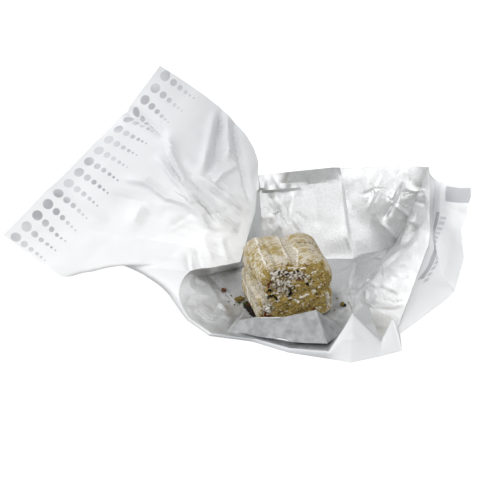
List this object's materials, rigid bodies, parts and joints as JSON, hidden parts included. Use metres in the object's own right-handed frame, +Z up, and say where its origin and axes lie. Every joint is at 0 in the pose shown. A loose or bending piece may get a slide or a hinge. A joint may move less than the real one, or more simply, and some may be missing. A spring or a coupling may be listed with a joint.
{
  "type": "white chocolate truffle",
  "caption": "Unwrapped white chocolate truffle, a small rounded block with a broken front, on its opened and crumpled foil-lined wrapper.",
  "frame": {"origin": "middle of the object's box, on the table", "axes": "+X along the wrapper towards its right end, +Y away from the viewer, +Z up"},
  "size_m": [0.131, 0.077, 0.0512],
  "materials": {
    "chocolate": "matte",
    "wrapper": "satin"
  },
  "bodies": {
    "root": {"truffle": "chocolate", "wrapper": "wrapper"}
  },
  "joints": []
}
